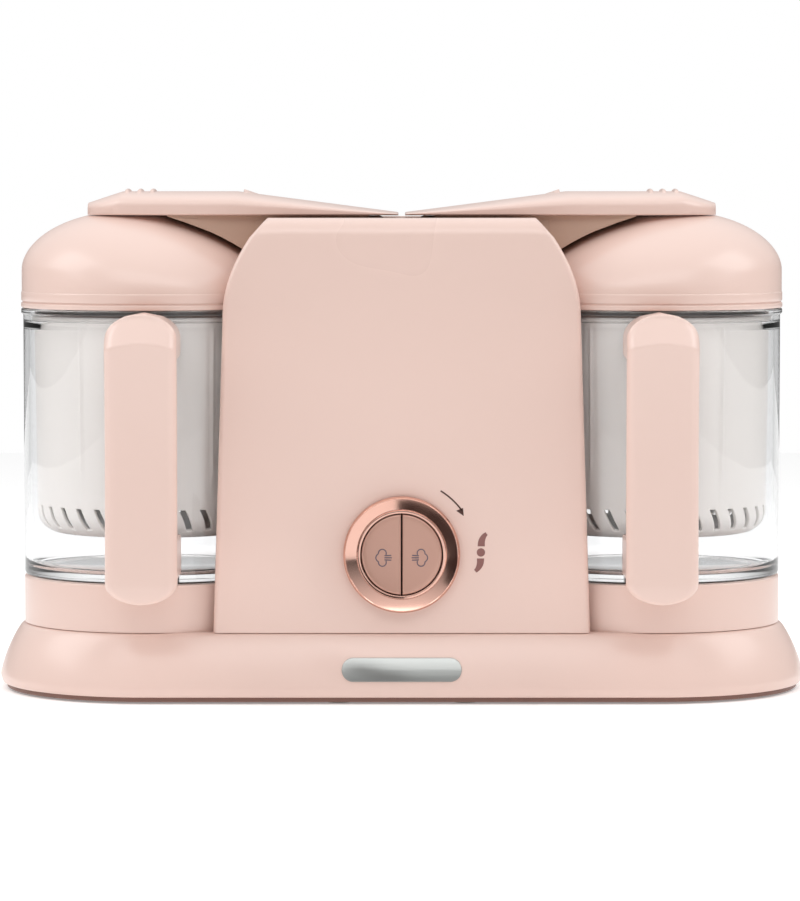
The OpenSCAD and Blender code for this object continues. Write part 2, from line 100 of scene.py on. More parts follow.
class Shader:
    """A node material built around one Principled BSDF."""

    def __init__(self, name, color, **values):
        self.material = bpy.data.materials.new(name)
        self.material.use_nodes = True
        self.tree = self.material.node_tree
        self.bsdf = self.tree.nodes["Principled BSDF"]
        self.color = (*color, 1.0)
        self.bsdf.inputs["Base Color"].default_value = self.color
        self.coords = self.tree.nodes.new("ShaderNodeTexCoord")
        for key, value in values.items():
            self.bsdf.inputs[key.replace("_", " ")].default_value = value

    def add(self, kind, **values):
        made = self.tree.nodes.new(kind)
        for key, value in values.items():
            made.inputs[key].default_value = value
        return made

    def link(self, a, b):
        self.tree.links.new(a, b)

    def noise(self, scale, detail=3.0, roughness=0.55, stretch=None):
        made = self.add("ShaderNodeTexNoise", Scale=scale, Detail=detail, Roughness=roughness)
        if stretch:
            mapping = self.add("ShaderNodeMapping", Scale=stretch)
            self.link(self.coords.outputs["Object"], mapping.inputs["Vector"])
            self.link(mapping.outputs["Vector"], made.inputs["Vector"])
        else:
            self.link(self.coords.outputs["Object"], made.inputs["Vector"])
        return made.outputs["Fac"]

    def spread(self, source, low, high):
        made = self.tree.nodes.new("ShaderNodeMapRange")
        made.inputs["From Min"].default_value = 0.25
        made.inputs["From Max"].default_value = 0.75
        made.inputs["To Min"].default_value = low
        made.inputs["To Max"].default_value = high
        self.link(source, made.inputs["Value"])
        return made.outputs["Result"]

    def vary_roughness(self, source, low, high):
        self.link(self.spread(source, low, high), self.bsdf.inputs["Roughness"])

    def vary_color(self, source, other):
        mix = self.tree.nodes.new("ShaderNodeMix")
        mix.data_type = "RGBA"
        mix.inputs[6].default_value = self.color
        mix.inputs[7].default_value = (*other, 1.0)
        self.link(self.spread(source, 0.0, 1.0), mix.inputs[0])
        self.link(mix.outputs[2], self.bsdf.inputs["Base Color"])

    def bump(self, source, distance, strength=1.0):
        made = self.add("ShaderNodeBump", Strength=strength, Distance=distance)
        self.link(source, made.inputs["Height"])
        self.link(made.outputs["Normal"], self.bsdf.inputs["Normal"])


def shade(name, color, other, rough, grain, height, stretch=None, **values):
    """A finish with a slight colour drift, a roughness range and a fine surface grain."""
    made = Shader(name, color, **values)
    made.vary_color(made.noise(9.0, 2.0), other)
    made.vary_roughness(made.noise(grain / 20.0, 2.0, stretch=stretch), *rough)
    if height:
        made.bump(made.noise(grain, 2.0, 0.5, stretch=stretch), height)
    return made.material


def pass_lamp_rays(material):
    """Lets rays from lamps through, so that what stands inside the clear plastic is lit."""
    tree = material.node_tree
    path = tree.nodes.new("ShaderNodeLightPath")
    through = tree.nodes.new("ShaderNodeBsdfTransparent")
    mix = tree.nodes.new("ShaderNodeMixShader")
    tree.links.new(path.outputs["Is Shadow Ray"], mix.inputs[0])
    tree.links.new(tree.nodes["Principled BSDF"].outputs[0], mix.inputs[1])
    tree.links.new(through.outputs[0], mix.inputs[2])
    tree.links.new(mix.outputs[0], tree.nodes["Material Output"].inputs["Surface"])


PINK = shade("pink_plastic", (0.820, 0.612, 0.542), (0.812, 0.603, 0.533), (0.27, 0.32), 120.0,
             0.0, Coat_Weight=0.15, Coat_Roughness=0.15, Specular_IOR_Level=0.5)
# A darkened copy of the pink plastic: painted shade for the parts that sit in shade under the arms and on
# the tower's deck.
PINK_PAINTED_SHADE = shade("pink_painted_shade", (0.540, 0.368, 0.280), (0.525, 0.355, 0.269), (0.38, 0.46), 120.0,
                  0.0)
MAUVE = shade("mauve_plastic", (0.235, 0.125, 0.098), (0.223, 0.117, 0.091), (0.42, 0.55), 1400.0,
              0.00004)
COPPER = shade("copper_ring", (0.720, 0.440, 0.360), (0.698, 0.421, 0.341), (0.08, 0.13), 700.0,
               0.000001, Metallic=1.0)
BUTTON = shade("copper_button", (0.560, 0.325, 0.255), (0.530, 0.300, 0.235), (0.30, 0.38), 900.0,
               0.00002, Metallic=0.35, Coat_Weight=0.3, Coat_Roughness=0.2)
STEEL = shade("brushed_steel", (0.66, 0.66, 0.67), (0.58, 0.58, 0.59), (0.22, 0.36), 500.0,
              0.00001, (1.0, 12.0, 1.0), Metallic=1.0)
BADGE = shade("badge_metal", (0.42, 0.43, 0.42), (0.36, 0.37, 0.36), (0.26, 0.40), 500.0,
              0.00002, (0.2, 1.0, 9.0), Metallic=0.9)
DARK = shade("dark_plastic", (0.035, 0.033, 0.033), (0.028, 0.026, 0.026), (0.40, 0.52), 1500.0,
             0.00004)
RUBBER = shade("soft_rubber", (0.30, 0.27, 0.25), (0.26, 0.235, 0.22), (0.62, 0.75), 1200.0,
               0.00005)
BOARD = shade("board_green", (0.035, 0.115, 0.060), (0.030, 0.095, 0.050), (0.32, 0.42), 600.0,
              0.00003)
BRONZE = shade("sintered_bronze", (0.55, 0.36, 0.20), (0.48, 0.31, 0.17), (0.38, 0.5), 1400.0,
               0.00003, Metallic=1.0)
CLEAR = shade("clear_plastic", (0.985, 0.988, 0.992), (0.980, 0.985, 0.990), (0.01, 0.03), 60.0,
              0.00001, IOR=1.45, Transmission_Weight=1.0)
pass_lamp_rays(CLEAR)
MILKY = shade("milky_plastic", (0.960, 0.915, 0.880), (0.952, 0.905, 0.868), (0.28, 0.38), 700.0,
              0.00003, IOR=1.40, Transmission_Weight=0.08)
PRINT = shade("printed_mark", (0.270, 0.118, 0.105), (0.255, 0.110, 0.097), (0.42, 0.5), 1200.0,
              0.00001)
ARROW = shade("printed_arrow", (0.085, 0.034, 0.026), (0.078, 0.031, 0.023), (0.42, 0.5), 1200.0,
              0.00001)
ICON = shade("button_mark", (0.120, 0.098, 0.128), (0.112, 0.090, 0.118), (0.42, 0.5), 1200.0,
             0.00001)

# ---------------------------------------------------------------- mesh tools


def arc(cx, cy, radius, start, end, count=8):
    """Points on a circle's arc, angles in degrees."""
    out = []
    for i in range(count + 1):
        a = math.radians(start + (end - start) * i / count)
        out.append((cx + radius * math.cos(a), cy + radius * math.sin(a)))
    return out


def filleted(points, radius, count=4):
    """A closed outline with each corner rounded; a point may give its own radius as a third value."""
    out = []
    n = len(points)
    for i in range(n):
        here, before, after = points[i], points[i - 1], points[(i + 1) % n]
        p = Vector(here[:2])
        r = here[2] if len(here) > 2 else radius
        a, b = Vector(before[:2]) - p, Vector(after[:2]) - p
        half = a.angle(b) / 2
        reach = r / math.tan(half) if half > 1e-4 else 0.0
        if r <= 0 or half > math.radians(88):
            out.append((p.x, p.y))
            continue
        reach = min(reach, 0.49 * a.length, 0.49 * b.length)
        start, end = p + a.normalized() * reach, p + b.normalized() * reach
        for k in range(count + 1):
            t = k / count
            q = start * (1 - t) ** 2 + p * (2 * t * (1 - t)) + end * t**2
            out.append((q.x, q.y))
    return out


def piece(name, verts, faces, material, body, cad=(), sharp=35.0):
    """A finished object in the row frame, from millimetres, that rides on a CAD body."""
    mesh = bpy.data.meshes.new(name)
    mesh.from_pydata([(x * MM, y * MM, z * MM) for x, y, z in verts], [], faces)
    bm = bmesh.new()
    bm.from_mesh(mesh)
    bmesh.ops.remove_doubles(bm, verts=bm.verts, dist=2e-6)
    bmesh.ops.recalc_face_normals(bm, faces=bm.faces)
    bm.to_mesh(mesh)
    bm.free()
    mesh.shade_smooth()
    mesh.set_sharp_from_angle(angle=math.radians(sharp))
    mesh.materials.append(material)
    made = bpy.data.objects.new(name, mesh)
    scene.collection.objects.link(made)
    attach(made, body)
    if cad:
        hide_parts(*cad)
    return made


def skin(rings, caps=True):
    """Faces between successive rings of the same count, with a face over each end."""
    n = len(rings[0])
    verts = [p for ring in rings for p in ring]
    faces = []
    for i in range(len(rings) - 1):
        for j in range(n):
            k = (j + 1) % n
            faces.append((i * n + j, i * n + k, (i + 1) * n + k, (i + 1) * n + j))
    if caps:
        faces.append(tuple(reversed(range(n))))
        faces.append(tuple((len(rings) - 1) * n + j for j in range(n)))
    return verts, faces


def revolved(profile, cx=0.0, cy=0.0, segments=128):
    """A closed half outline of radius and height turned about the vertical axis at cx, cy."""
    n = len(profile)
    verts, faces = [], []
    for s in range(segments):
        a = 2 * math.pi * s / segments
        verts += [(cx + r * math.cos(a), cy + r * math.sin(a), z) for r, z in profile]
    for s in range(segments):
        t = (s + 1) % segments
        for i in range(n):
            k = (i + 1) % n
            if profile[i][0] < 1e-6 and profile[k][0] < 1e-6:
                continue
            faces.append((s * n + i, t * n + i, t * n + k, s * n + k))
    return verts, faces


def placed(verts, matrix):
    return [tuple(matrix @ Vector(v)) for v in verts]


def rounded(node, material, width, name=None, segments=3, angle=30.0):
    """A copy of a CAD node with its sharp edges rounded over, standing for the node."""
    source = nodes[node]
    mesh = source.data.copy()
    mesh.name = name or node + "_finished"
    bm = bmesh.new()
    bm.from_mesh(mesh)
    bmesh.ops.remove_doubles(bm, verts=bm.verts, dist=5e-6)
    bmesh.ops.dissolve_limit(bm, angle_limit=math.radians(0.6), verts=bm.verts, edges=bm.edges)
    edges = [e for e in bm.edges
             if len(e.link_faces) == 2 and e.calc_face_angle(0.0) > math.radians(angle)]
    bmesh.ops.bevel(bm, geom=edges, offset=width * MM, offset_type="OFFSET", segments=segments,
                    profile=0.5, affect="EDGES", clamp_overlap=True)
    bm.to_mesh(mesh)
    bm.free()
    mesh.materials.clear()
    mesh.materials.append(material)
    mesh.shade_smooth()
    mesh.set_sharp_from_angle(angle=math.radians(40))
    made = bpy.data.objects.new(mesh.name, mesh)
    scene.collection.objects.link(made)
    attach(made, source["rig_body"])
    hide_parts(node)
    return made


def power_curve(u, p):
    return max(0.0, 1.0 - max(0.0, u) ** p) ** (1.0 / p)


# ---------------------------------------------------------------- base

WIDE_Z = 7.0
PLATE_Z = BASE_LO.z


def stadium(radius, z, count=48):
    ring = []
    for cx, start in ((BOWL_X, -90), (-BOWL_X, 90)):
        for i in range(count + 1):
            a = math.radians(start + 180 * i / count)
            ring.append((cx + radius * math.cos(a), radius * math.sin(a), z))
    return ring


def base_side(z):
    widest = BASE_HI.x - BOWL_X
    if z < WIDE_Z:
        return widest - (WIDE_Z - z) / 3.7
    u = (z - WIDE_Z) / (BASE_TOP - WIDE_Z)
    return RING_R + (widest - RING_R) * power_curve(u, 1.3)


def build_base():
    outer = [(base_side(PLATE_Z) - 0.8, PLATE_Z), (base_side(PLATE_Z) - 0.2, PLATE_Z + 0.15),
             (base_side(PLATE_Z + 0.9), PLATE_Z + 0.9)]
    outer += [(base_side(z), z) for z in (5.2, 6.2, 7.0, 8.2, 9.6, 11.5, 13.5, 15.5, 17.5, 19.5,
                                          21.5, 23.5, 25.3, 27.0, 28.5, 29.8, 30.8)]
    outer += [(base_side(31.6) - 0.1, 31.6), (base_side(32.2) - 0.45, 32.25),
              (base_side(32.6) - 1.0, 32.65), (base_side(32.9) - 1.8, 32.9),
              (RING_R - 1.6, BASE_TOP)]
    inner = [(base_side(z) - 2.6, z) for z in (30.0, 24.0, 18.0, 12.0, 7.0)]
    inner.append((base_side(PLATE_Z) - 2.6, PLATE_Z))
    rings = [stadium(r, z) for r, z in [(20.0, 30.0)] + inner + outer + [(20.0, BASE_TOP)]]
    verts, faces = skin(rings)
    piece("base_body", verts, faces, PINK, "base", ["base_shell"], 50)


# ---------------------------------------------------------------- tower

SHOULDER_Z = 185.0
TOP_ARC = 9.0
SHIELD_T = 3.5


def shield_side(z):
    foot, shoulder = SHIELD_HI.x, 85.1
    u = max(0.0, z - SHOULDER_Z) / (SHIELD_HI.z - SHOULDER_Z)
    v = (min(z, SHOULDER_Z) - BASE_TOP) / (SHOULDER_Z - BASE_TOP)
    return foot + (shoulder - foot) * v - 19.6 * u**1.9


def shield_row(point, inward, z):
    """One cross-section of the shield: rounded at both front edges, flat behind."""
    half, r = shield_side(z), 2.6
    side = [(half, SHIELD_T), (half, r)]
    side += [(half - r + r * math.cos(math.radians(a)), r - r * math.sin(math.radians(a)))
             for a in (18, 36, 54, 72, 90)]
    side += [(half * k, 0.0) for k in (0.85, 0.6, 0.3, 0.0)]
    across = side + [(-x, d) for x, d in reversed(side[:-1])]
    return [(x, point[0] + d * inward[0], point[1] + d * inward[1]) for x, d in across]


def build_shield():
    rows = []
    straight_top = SHIELD_HI.z - TOP_ARC
    levels = [BASE_TOP + 0.02, 60, 100, 140, 170] + [SHOULDER_Z + 4 * i for i in range(9)]
    for z in levels + [straight_top]:
        rows.append(shield_row((FRONT_Y, z), (1.0, 0.0), z))
    for i in range(1, 13):
        a = math.radians(90 * i / 12)
        y = FRONT_Y + TOP_ARC - TOP_ARC * math.cos(a)
        z = straight_top + TOP_ARC * math.sin(a)
        rows.append(shield_row((y, z), (math.cos(a), -math.sin(a)), z))
    verts, faces = skin(rows)
    made = piece("shield_panel", verts, faces, PINK, "base", ["front_shield"], 60)
    cutter_mesh = bpy.data.meshes.new("knob_hole")
    verts, faces = revolved([(0, -10), (24.9, -10), (24.9, 10), (0, 10)], segments=96)
    turn = Matrix.Translation((0, FRONT_Y, KNOB_Z)) @ Matrix.Rotation(math.radians(90), 4, "X")
    cutter_mesh.from_pydata([tuple(Vector(v) * MM) for v in placed(verts, turn)], [], faces)
    bm = bmesh.new()
    bm.from_mesh(cutter_mesh)
    bmesh.ops.remove_doubles(bm, verts=bm.verts, dist=1e-6)
    bmesh.ops.recalc_face_normals(bm, faces=bm.faces)
    bm.to_mesh(cutter_mesh)
    bm.free()
    cutter = bpy.data.objects.new("knob_hole", cutter_mesh)
    scene.collection.objects.link(cutter)
    cut = made.modifiers.new("hole", "BOOLEAN")
    cut.operation, cut.solver, cut.object = "DIFFERENCE", "EXACT", cutter
    bake_modifiers(made)
    bpy.data.objects.remove(cutter)


def bake_modifiers(made):
    """Replaces an object's mesh by its evaluated one, so no helper object is needed."""
    depsgraph = bpy.context.evaluated_depsgraph_get()
    done = bpy.data.meshes.new_from_object(made.evaluated_get(depsgraph))
    made.modifiers.clear()
    made.data = done


# ---------------------------------------------------------------- lids


def lid_edges(z, radius, top):
    out = 16 + (radius - 16) * power_curve((z - 205) / (top + 1.8 - 205), 1.9)
    into = (radius + 16) * power_curve((z - 196) / (top + 4.8 - 196), 1.5) - 16
    return out, into


def build_lid(side, sign):
    segments = 128
    top, z0, radius = LID_HI.z, LID_LO.z, 63.7

    def ring(r, z, shift=0.0):
        cx = sign * (BOWL_X + shift)
        return [(cx + r * math.cos(2 * math.pi * i / segments),
                 r * math.sin(2 * math.pi * i / segments), z) for i in range(segments)]

    def dome(z, r, t):
        out, into = lid_edges(z, r, t)
        return ring((out + into) / 2, z, (out - into) / 2)

    under = top - 2.4
    rings = [dome(under - (under - 197) * (i / 14) ** 1.5, radius - 2.6, under) for i in range(15)]
    rings += [ring(r, z) for r, z in ((radius - 2.6, 192), (59.4, 190), (59.0, 189), (59, z0 + 0.5),
                                      (59.4, z0), (60.1, z0), (60.1, z0 + 2.4), (62.6, z0 + 2.4),
                                      (62.6, z0), (63.4, z0), (63.9, z0 + 0.25), (64.1, z0 + 0.8),
                                      (64.1, z0 + 2.0), (63.95, z0 + 2.4), (63.4, z0 + 2.6),
                                      (63.3, z0 + 3.2), (63.85, z0 + 3.4), (64, z0 + 3.8),
                                      (64, z0 + 7.3), (63.9, z0 + 7.7), (radius, z0 + 7.9))]
    rings += [dome(196 + (top - 196) * (1 - (1 - i / 26) ** 1.6), radius, top) for i in range(26)]
    last = dome(top, radius, top)
    centre = sum((Vector(p) for p in last), Vector()) / segments
    for k in (1.0, 0.92, 0.6, 0.2):
        rings.append([(centre.x + (x - centre.x) * k, y * k, z) for x, y, z in last])
    verts, faces = skin(rings)
    piece(f"{side}_steam_lid", verts, faces, PINK, f"{side}_arm", [f"{side}_lid"],
          32)


# ---------------------------------------------------------------- arms


def arm_half_width(x):
    u = max(0.0, x - 78) / (ARM_HI.x - 78)
    tip = max(0.02, 1 - (max(0.0, x - 120) / (ARM_HI.x - 119)) ** 3)
    return (ARM_HI.y - 9 * u**1.3) * tip**0.5


def arm_crest(x):
    low, crest = ARM_LO.z, ARM_LO.z + 11.5
    if x < 80:
        return low + 1.1 + (crest - low - 1.1) * x / 80
    return crest if x < 136 else crest - 5.6 * (x - 136) / (ARM_HI.x - 136)


def bump(distance, width):
    return max(0.0, 1 - (distance / width) ** 2) ** 0.5 if abs(distance) < width else 0.0


def arm_relief(x, y):
    """Height of the three grip ridges and the small arrow wedge above the arm's skin."""
    fade = min(1.0, max(0.0, (13.5 - abs(y)) / 1.5))
    ridges = max(bump(x - (121.3 + 6.15 * i), 1.15) for i in range(3)) * 1.3 * fade
    wedge = 0.0
    if 69.6 < x < 77.2:
        reach = (x - 69.6) / 7.6
        side = min(1.0, max(0.0, (4.2 * reach - abs(y)) / 0.5))
        wedge = 1.5 * reach * side * min(1.0, (77.2 - x) / 0.4)
    return max(ridges, wedge)


def build_arm(side, sign):
    inner = ARM_LO.x
    stations = [inner, inner + 0.3, inner + 0.9] + [4 + 6 * i for i in range(11)]
    stations += [68 + 0.4 * i for i in range(25)] + [79, 80, 81.5, 84, 88, 93, 98, 103, 108, 113, 117]
    stations += [119 + 0.35 * i for i in range(48)] + [136.5, 138, 140, 142, 144, 146, 147.5]
    stations += [148.8, 150, 151, 151.8, 152.4, 152.8, ARM_HI.x]
    low = ARM_LO.z
    rings = []
    for x in stations:
        w, h = arm_half_width(x), arm_crest(x) - low
        wall = 0.38 * h
        end = min(1.0, 0.72 + 0.6 * (x - inner))
        ring = [(sign * x, -w + 1.6, low), (sign * x, -w + 0.5, low + 0.15), (sign * x, -w, low + 0.7)]
        count = 44
        for i in range(count + 1):
            a = math.pi * i / count
            y = -w * math.cos(a)
            z = low + (wall + (h - wall) * max(0.0, math.sin(a)) ** 0.75) * end
            ring.append((sign * x, y, z + arm_relief(x, y)))
        ring += [(sign * x, w, low + 0.7), (sign * x, w - 0.5, low + 0.15), (sign * x, w - 1.6, low)]
        rings.append(ring)
    verts, faces = skin(rings)
    piece(f"{side}_lock_arm", verts, faces, PINK, f"{side}_arm", [f"{side}_arm"],
          38)


def build_panel(side, sign):
    """The panel under the arm, from the lid's flat top to inside the tower's open top, coloured with
    painted shade: a darkened copy of the pink plastic.
    """
    half, top = 27.8, ARM_LO.z - 0.05
    outline = [(113, top), (113, top - 0.5), (104, top - 3.5), (90, 222.6), (62, 222.6), (62, top)]
    verts, faces = skin([[(sign * x, y, z) for x, z in outline] for y in (-half, half)])
    piece(f"{side}_arm_panel", verts, faces, PINK_PAINTED_SHADE, f"{side}_arm")


# ---------------------------------------------------------------- bowls


def build_ring(side, sign):
    inner = RING_R - 3
    profile = filleted([
        (8, 36, 0), (12, 36, 0.4), (12, 47, 1), (inner, 47, 1), (inner, BASE_TOP, 0),
        (RING_R, BASE_TOP, 0), (RING_R, RING_HI.z, 0.9),
        (55.9, RING_HI.z, 0.5), (55.9, 53.6, 0.2), (58.6, 53.6, 0), (58.6, 50.5, 0), (8, 50.5, 0),
    ], 0.3)
    verts, faces = revolved(profile, sign * BOWL_X, 0.0, 160)
    piece(f"{side}_drive_pod", verts, faces, PINK, "base", [f"{side}_drive_ring"])


def build_bowl(side, sign):
    r, inner = RING_R, RING_R - 3
    profile = filleted([
        (9, 56.6, 0), (50, 56.6, 0.4), (50, 51, 0.4), (55.4, 51, 0.5), (55.4, 56, 0.3), (r, 56, 2.4),
        (r, RIM_Z - 3, 0.6), (r + 1, RIM_Z - 2.2, 0.6), (r + 1, RIM_Z, 0.9), (inner, RIM_Z, 0.7),
        (inner, 180.6, 0.2), (58.3, 180.6, 0.3), (inner, 176.5, 1), (inner, 60, 5), (9, 60, 0),
    ], 0.3, 6)
    verts, faces = revolved(profile, sign * BOWL_X, 0.0, 160)
    piece(f"{side}_clear_bowl", verts, faces, CLEAR, f"{side}_bowl", [f"{side}_bowl"],
          32)


def build_basket(side, sign):
    top_r, low_r = 56.0, 54.5
    slots, per_slot = 34, 10
    columns = slots * per_slot
    levels = [(59.2, 181.6), (57.4, 183.6), (56.4, 183.8), (55.9, 182.5), (55.9, 180.2), (top_r, 179.6),
              (top_r, 178.6), (top_r - 0.35, 178.0)]
    levels += [(low_r + (top_r - 0.35 - low_r) * (z - 92) / 86, z) for z in (170, 150, 130, 110, 96)]
    slotted = [(low_r, 91), (low_r, 89.5)] + arc(low_r - 9, 88, 9, 0, -42, 6)
    foot = arc(low_r - 9, 88, 9, -48, -90, 6)
    floor = [(38, 79), (28, 79), (16, 79), (6, 79), (0.01, 79)]
    rows = levels + slotted + foot + floor
    lean = math.radians(4.5)
    ribs = [round(columns * a / 360) for a in (57, 123, 237, 303)]
    verts, faces = [], []
    for r, z in rows:
        twist = lean * min(1.0, max(0.0, (91 - z) / 9.0))
        for c in range(columns):
            a = 2 * math.pi * c / columns + twist
            rib = 0.8 if c in ribs and 96 < z < 178.5 else 0.0
            verts.append((sign * BOWL_X + (r + rib) * math.cos(a), (r + rib) * math.sin(a), z))
    first, last = len(levels), len(levels) + len(slotted) - 2
    holes_at = len(levels) + len(slotted) + len(foot)
    for i in range(len(rows) - 1):
        for c in range(columns):
            if first <= i <= last and c % per_slot < 3:
                continue
            if i == holes_at and c % slots < 5:
                continue
            k = (c + 1) % columns
            faces.append((i * columns + c, i * columns + k, (i + 1) * columns + k, (i + 1) * columns + c))
    made = piece(f"{side}_steam_basket", verts, faces, MILKY, f"{side}_bowl", [f"{side}_basket"],
                 45)
    wall = made.modifiers.new("wall", "SOLIDIFY")
    wall.thickness, wall.offset = 1.9 * MM, -1.0
    edge = made.modifiers.new("edge", "BEVEL")
    edge.width, edge.segments, edge.limit_method = 0.35 * MM, 2, "ANGLE"
    edge.angle_limit = math.radians(50)
    bake_modifiers(made)
    made.data.shade_smooth()
    made.data.set_sharp_from_angle(angle=math.radians(45))


def corner(distance, radius):
    """How far a rounded corner falls back, at a distance from its flat's end."""
    t = min(1.0, max(0.0, distance / radius))
    return radius * (1 - math.sqrt(1 - t * t))


def build_handle(side, sign):
    """The grip: a crowned bar with an arched, slanted top, joined to the bowl at both ends."""
    half = (HANDLE_HI.x - HANDLE_LO.x) / 2
    low, high, front = HANDLE_LO.z, HANDLE_HI.z, HANDLE_LO.y
    back, wall, gap_low, gap_high = front + 12, RING_R + 0.3, 80.0, 164.0
    arch, foot = 12.0, 10.0

    def width(z):
        if z < low + foot:
            return half * math.sqrt(max(0.0, 1 - (1 - (z - low) / foot) ** 2))
        return half * math.sqrt(max(0.0, 1 - (max(0.0, z - high + arch) / arch) ** 2))

    def face(x, z, w):
        crease = high - 13.5 - 4.5 * (x / half) ** 2
        slant = max(0.0, z - crease) * 0.78
        crown = 1.3 * (x / half) ** 2
        fall = 2.2 * (1 - min(1.0, (z - low) / foot)) ** 2
        down = min(1.0, max(0.0, (crease - z) / (crease - low)))
        hollow = 3.4 * math.sin(math.pi * down**0.75)
        front_face = front + max(crown + hollow, slant) + corner(abs(x) - w + 4.2, 4.2) + fall
        return min(back - 1.0, front_face)

    steps = 28
    levels = [low + foot * (1 - math.cos(math.radians(7.5 * i))) for i in range(1, 13)]
    levels += [low + foot + 4 + 8 * i for i in range(12)]
    levels += [158 + 1.5 * i for i in range(6)]
    levels += [167 + 0.8 * i for i in range(9)]
    levels += [high - arch + arch * math.sin(math.radians(6 * i)) for i in range(1, 15)]
    rings = []
    for z in levels:
        w = width(z)
        across = [w * math.sin(math.radians(-90 + 180 * i / steps)) for i in range(steps + 1)]
        ring = [(sign * BOWL_X + x, face(x, z, w), z) for x in across]
        ring += [(sign * BOWL_X + x, back - corner(abs(x) - w + 3, 3) * 0.9, z) for x in reversed(across)]
        rings.append(ring)
    verts, faces = skin(rings)
    for z0, z1 in ((low + foot, gap_low), (gap_high, high)):
        rings = []
        for k in range(7):
            reach = k / 6
            outline = []
            for i in range(13):
                z = z0 + (z1 - z0) * i / 12
                outline.append((min(half, width(z)) - corner(2 - i, 2) * 0.6, z))
            ring = []
            for x, z in outline + [(-x, z) for x, z in reversed(outline)]:
                near = -math.sqrt(wall**2 - x * x)
                ring.append((sign * BOWL_X + x, (back - 3) * (1 - reach) + near * reach, z))
            rings.append(ring)
        base = len(verts)
        more, more_faces = skin(rings)
        verts += more
        faces += [tuple(base + i for i in f) for f in more_faces]
    made = piece(f"{side}_grip", verts, faces, PINK, f"{side}_bowl", [f"{side}_handle"],
                 60)
    melt = made.modifiers.new("melt", "REMESH")
    melt.mode, melt.voxel_size = "VOXEL", 0.65 * MM
    soften = made.modifiers.new("soften", "SMOOTH")
    soften.factor, soften.iterations = 0.5, 3
    bake_modifiers(made)
    made.data.shade_smooth()


# ---------------------------------------------------------------- controls


def facing(profile, segments=128):
    """A revolved form about the knob's axis; heights count forwards from the centre plane."""
    verts, faces = revolved(profile, segments=segments)
    turn = Matrix.Translation((0, 0, KNOB_Z)) @ Matrix.Rotation(math.radians(90), 4, "X")
    return placed(verts, turn), faces


def build_knob():
    f = -KNOB_LO.y
    profile = filleted([
        (21, 52, 0), (24.4, 52, 0), (24.4, 63.4, 0), (KNOB_R, 63.4, 0.2), (KNOB_R, f - 1.6, 0.9),
        (KNOB_R - 0.9, f, 0.4), (KNOB_R - 1.2, f - 0.3, 0.1), (21.3, f - 2.4, 0.1),
        (21.1, f - 1.6, 0.3), (19.7, f - 1.6, 0.3), (19.6, 64.5, 0), (21, 63.5, 0),
    ], 0.4, 5)
    verts, faces = facing(profile, 160)
    piece("knob_dial", verts, faces, COPPER, "knob", ["knob_ring"], 40)


def half_disc(radius, gap, count=40):
    """Outline of the right-hand half of a disc, cut back from the middle by gap."""
    start = math.degrees(math.acos(gap / radius))
    return [(gap, -math.sqrt(radius**2 - gap**2))] + arc(0, 0, radius, -start, start, count)[1:-1] + [
        (gap, math.sqrt(radius**2 - gap**2))]


def build_button(side, sign):
    radius = (BUTTON_HI.z - BUTTON_LO.z) / 2 + 0.2
    face_y, back_y = BUTTON_LO.y, -52.0
    outline = half_disc(radius, 0.33)
    middle = Vector((radius * 0.42, 0.0))
    rings = []
    for inset, y in ((0, back_y), (0, face_y + 1.0), (0.12, face_y + 0.5), (0.4, face_y + 0.15),
                     (0.9, face_y), (3.0, face_y + 0.02), (7.0, face_y + 0.05)):
        ring = []
        for x, z in outline:
            p = Vector((x, z))
            p -= (p - middle).normalized() * inset * (0.75 if x < 0.34 else 1.0)
            ring.append((sign * p.x, y, KNOB_Z + p.y))
        rings.append(ring)
    verts, faces = skin(rings)
    base = len(verts)
    stem, stem_faces = revolved([(0, 45.9), (2, 45.9), (2, 52), (0, 52)], segments=24)
    turn = Matrix.Translation((sign * 9.5, 0, KNOB_Z)) @ Matrix.Rotation(math.radians(90), 4, "X")
    verts += placed(stem, turn)
    faces += [tuple(base + i for i in f) for f in stem_faces]
    piece(f"{side}_push_button", verts, faces, BUTTON, f"{side}_button", [f"{side}_button"],
          40)


def ribbon(name, paths, width, y, body, material, height=0.12):
    """Thin raised lines on a face that looks along -Y; each path is a list of x, z points."""
    verts, faces = [], []
    for path in paths:
        closed = (Vector(path[0]) - Vector(path[-1])).length < 1e-6
        points = [Vector(p) for p in (path[:-1] if closed else path)]
        n = len(points)
        rings = []
        for i, p in enumerate(points):
            if closed:
                along = points[(i + 1) % n] - points[i - 1]
            else:
                along = points[min(i + 1, n - 1)] - points[max(i - 1, 0)]
            side = Vector((-along.y, along.x)).normalized() * width / 2
            a, b = p + side, p - side
            rings.append([(a.x, y, a.y), (a.x, y - height, a.y), (b.x, y - height, b.y), (b.x, y, b.y)])
        base = len(verts)
        if closed:
            rings.append(rings[0])
        v, f = skin(rings, caps=not closed)
        verts += v
        faces += [tuple(base + k for k in face) for face in f]
    return piece(name, verts, faces, material, body)


def plate_mark(outlines, y, height=0.12):
    """Solid flat marks from closed x, z outlines."""
    verts, faces = [], []
    for outline in outlines:
        base = len(verts)
        v, f = skin([[(x, y, z) for x, z in outline], [(x, y - height, z) for x, z in outline]])
        verts += v
        faces += [tuple(base + k for k in face) for face in f]
    return verts, faces


def bend(start, middle, end, count=14):
    """Points on a quadratic curve."""
    out = []
    for i in range(count + 1):
        t = i / count
        out.append(tuple(a * (1 - t) ** 2 + 2 * b * t * (1 - t) + c * t * t
                         for a, b, c in zip(start, middle, end)))
    return out


def steam_cloud(sign):
    """A three-lobed cloud, open towards the middle, with three jets of steam into it."""
    path = arc(9.2, 0.75, 1.85, 205, -8, 18) + arc(10.3, -1.45, 2.0, 52, -52, 12)
    path += arc(9.2, -3.65, 1.85, 8, -205, 18)
    jets = [[(8.2, -1.45 + 1.0 * k), (4.7 + 0.25 * abs(k), -1.45 + 1.15 * k)] for k in (-1, 0, 1)]
    return [[(sign * x, KNOB_Z + z) for x, z in line] for line in [path] + jets]


